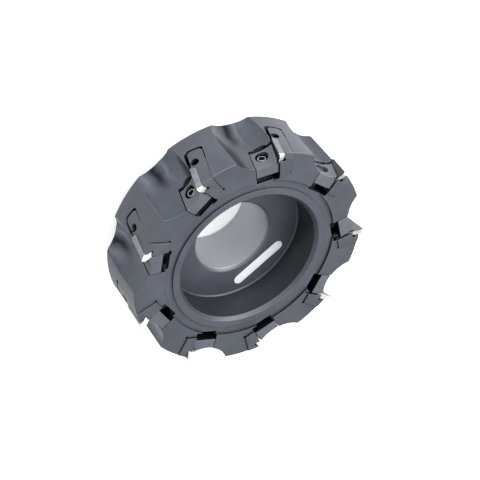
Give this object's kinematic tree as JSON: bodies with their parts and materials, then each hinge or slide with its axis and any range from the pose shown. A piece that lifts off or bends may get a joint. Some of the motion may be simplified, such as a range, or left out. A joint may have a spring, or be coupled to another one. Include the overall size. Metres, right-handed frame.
{
  "type": "face mill",
  "caption": "Shell-type shoulder face mill: a dark turned body with wedge-clamped triangular inserts in screwed locators, a through bore, a front screw recess and a rear drive keyway.",
  "frame": {"origin": "centre of the back mounting face, on the bore axis", "axes": "+Z along the bore axis, from the back mounting face to the cutting face; +Y through the tip of insert 1; the drive keyway runs 20 degrees clockwise of X, seen from the cutting face"},
  "size_m": [0.1585, 0.1592, 0.0631],
  "materials": {
    "body": "satin blue-grey oxide over turned and milled steel",
    "locator": "satin grey hardened steel",
    "wedge": "satin grey ground steel",
    "insert": "pale ground carbide",
    "wedge_screw": "black oxide with a bright rim",
    "locator_screw": "black oxide",
    "marking_plate": "bright satin, blank"
  },
  "bodies": {
    "cutter": {"cutter_body": "body", "marking_plate": "marking_plate", "locator_1": "locator", "locator_2": "locator", "locator_3": "locator", "locator_4": "locator", "locator_5": "locator", "locator_6": "locator", "locator_7": "locator", "locator_8": "locator", "locator_9": "locator", "locator_screw_1": "locator_screw", "locator_screw_2": "locator_screw", "locator_screw_3": "locator_screw", "locator_screw_4": "locator_screw", "locator_screw_5": "locator_screw", "locator_screw_6": "locator_screw", "locator_screw_7": "locator_screw", "locator_screw_8": "locator_screw", "locator_screw_9": "locator_screw", "insert_1": "insert", "insert_2": "insert", "insert_3": "insert", "insert_4": "insert", "insert_5": "insert", "insert_6": "insert", "insert_7": "insert", "insert_8": "insert", "insert_9": "insert"},
    "wedge_1": {"wedge_1": "wedge"},
    "wedge_screw_1": {"wedge_screw_1": "wedge_screw"},
    "wedge_2": {"wedge_2": "wedge"},
    "wedge_screw_2": {"wedge_screw_2": "wedge_screw"},
    "wedge_3": {"wedge_3": "wedge"},
    "wedge_screw_3": {"wedge_screw_3": "wedge_screw"},
    "wedge_4": {"wedge_4": "wedge"},
    "wedge_screw_4": {"wedge_screw_4": "wedge_screw"},
    "wedge_5": {"wedge_5": "wedge"},
    "wedge_screw_5": {"wedge_screw_5": "wedge_screw"},
    "wedge_6": {"wedge_6": "wedge"},
    "wedge_screw_6": {"wedge_screw_6": "wedge_screw"},
    "wedge_7": {"wedge_7": "wedge"},
    "wedge_screw_7": {"wedge_screw_7": "wedge_screw"},
    "wedge_8": {"wedge_8": "wedge"},
    "wedge_screw_8": {"wedge_screw_8": "wedge_screw"},
    "wedge_9": {"wedge_9": "wedge"},
    "wedge_screw_9": {"wedge_screw_9": "wedge_screw"}
  },
  "joints": [
    {"name": "wedge_slide_1", "type": "slide", "parent": "cutter", "child": "wedge_1", "axis": [-0.2192, 0.9744, -0.0506], "range_m": [0, 0.0015]},
    {"name": "wedge_screw_turn_1", "type": "hinge", "parent": "wedge_1", "child": "wedge_screw_1", "pos_m": [-0.00259, 0.06855, 0.05132], "axis": [-0.2192, 0.9744, -0.0506], "range_deg": [0, 540]},
    {"name": "wedge_slide_2", "type": "slide", "parent": "cutter", "child": "wedge_2", "axis": [0.4584, 0.8873, -0.0506], "range_m": [0, 0.0015]},
    {"name": "wedge_screw_turn_2", "type": "hinge", "parent": "wedge_2", "child": "wedge_screw_2", "pos_m": [0.04207, 0.05418, 0.05132], "axis": [0.4584, 0.8873, -0.0506], "range_deg": [0, 540]},
    {"name": "wedge_slide_3", "type": "slide", "parent": "cutter", "child": "wedge_3", "axis": [0.9215, 0.3851, -0.0506], "range_m": [0, 0.0015]},
    {"name": "wedge_screw_turn_3", "type": "hinge", "parent": "wedge_3", "child": "wedge_screw_3", "pos_m": [0.06706, 0.01446, 0.05132], "axis": [0.9215, 0.3851, -0.0506], "range_deg": [0, 540]},
    {"name": "wedge_slide_4", "type": "slide", "parent": "cutter", "child": "wedge_4", "axis": [0.9534, -0.2974, -0.0506], "range_m": [0, 0.0015]},
    {"name": "wedge_screw_turn_4", "type": "hinge", "parent": "wedge_4", "child": "wedge_screw_4", "pos_m": [0.06066, -0.03203, 0.05132], "axis": [0.9534, -0.2974, -0.0506], "range_deg": [0, 540]},
    {"name": "wedge_slide_5", "type": "slide", "parent": "cutter", "child": "wedge_5", "axis": [0.5392, -0.8406, -0.0506], "range_m": [0, 0.0015]},
    {"name": "wedge_screw_turn_5", "type": "hinge", "parent": "wedge_5", "child": "wedge_screw_5", "pos_m": [0.02588, -0.06353, 0.05132], "axis": [0.5392, -0.8406, -0.0506], "range_deg": [0, 540]},
    {"name": "wedge_slide_6", "type": "slide", "parent": "cutter", "child": "wedge_6", "axis": [-0.1273, -0.9906, -0.0506], "range_m": [0, 0.0015]},
    {"name": "wedge_screw_turn_6", "type": "hinge", "parent": "wedge_6", "child": "wedge_screw_6", "pos_m": [-0.02101, -0.0653, 0.05132], "axis": [-0.1273, -0.9906, -0.0506], "range_deg": [0, 540]},
    {"name": "wedge_slide_7", "type": "slide", "parent": "cutter", "child": "wedge_7", "axis": [-0.7342, -0.677, -0.0506], "range_m": [0, 0.0015]},
    {"name": "wedge_screw_turn_7", "type": "hinge", "parent": "wedge_7", "child": "wedge_screw_7", "pos_m": [-0.05807, -0.03652, 0.05132], "axis": [-0.7342, -0.677, -0.0506], "range_deg": [0, 540]},
    {"name": "wedge_slide_8", "type": "slide", "parent": "cutter", "child": "wedge_8", "axis": [-0.9976, -0.0467, -0.0506], "range_m": [0, 0.0015]},
    {"name": "wedge_screw_turn_8", "type": "hinge", "parent": "wedge_8", "child": "wedge_screw_8", "pos_m": [-0.06796, 0.00935, 0.05132], "axis": [-0.9976, -0.0467, -0.0506], "range_deg": [0, 540]},
    {"name": "wedge_slide_9", "type": "slide", "parent": "cutter", "child": "wedge_9", "axis": [-0.7942, 0.6055, -0.0506], "range_m": [0, 0.0015]},
    {"name": "wedge_screw_turn_9", "type": "hinge", "parent": "wedge_9", "child": "wedge_screw_9", "pos_m": [-0.04605, 0.05084, 0.05132], "axis": [-0.7942, 0.6055, -0.0506], "range_deg": [0, 540]}
  ],
  "couplings": [
    {"joint": "wedge_screw_turn_1", "follows": "wedge_slide_1", "rad_per_m": 6283.2},
    {"joint": "wedge_screw_turn_2", "follows": "wedge_slide_2", "rad_per_m": 6283.2},
    {"joint": "wedge_screw_turn_3", "follows": "wedge_slide_3", "rad_per_m": 6283.2},
    {"joint": "wedge_screw_turn_4", "follows": "wedge_slide_4", "rad_per_m": 6283.2},
    {"joint": "wedge_screw_turn_5", "follows": "wedge_slide_5", "rad_per_m": 6283.2},
    {"joint": "wedge_screw_turn_6", "follows": "wedge_slide_6", "rad_per_m": 6283.2},
    {"joint": "wedge_screw_turn_7", "follows": "wedge_slide_7", "rad_per_m": 6283.2},
    {"joint": "wedge_screw_turn_8", "follows": "wedge_slide_8", "rad_per_m": 6283.2},
    {"joint": "wedge_screw_turn_9", "follows": "wedge_slide_9", "rad_per_m": 6283.2}
  ]
}
